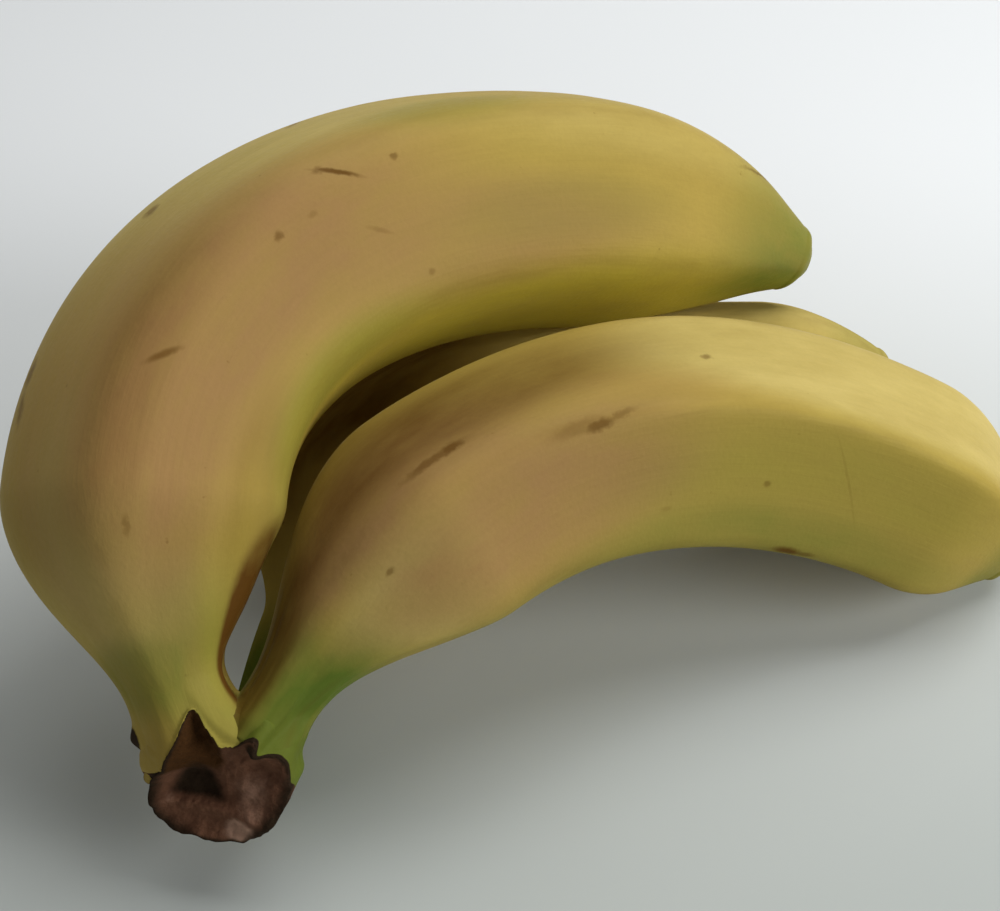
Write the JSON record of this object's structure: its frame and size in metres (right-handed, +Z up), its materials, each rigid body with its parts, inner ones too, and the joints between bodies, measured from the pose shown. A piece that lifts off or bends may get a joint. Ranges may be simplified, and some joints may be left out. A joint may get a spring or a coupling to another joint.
{
  "type": "banana cluster",
  "caption": "Curved ripe dessert bananas joined at one dried cut crown, lying as picked: faceted skins, green-tinged stems and a blunt tip on each fruit.",
  "frame": {"origin": "middle of the whole cluster's box in X and Y, on the surface that it lies on", "axes": "+X along the cluster's longest side, from the crown's side towards the tips; +Y from the cut crown towards the far side; +Z up from the surface, along the shortest side"},
  "size_m": [0.1634, 0.1182, 0.0797],
  "materials": {
    "ripe_peel": "waxy yellow banana peel with a satin sheen, green towards the stem, the tip and the inside of the curve, with small brown bruises and flecks",
    "dried_crown": "dry, matt, dark brown cut plant tissue with a darker curled rim and a paler lower part"
  },
  "bodies": {
    "root": {"crown": "dried_crown", "upper_banana": "ripe_peel", "front_banana": "ripe_peel", "back_banana": "ripe_peel"}
  },
  "joints": []
}
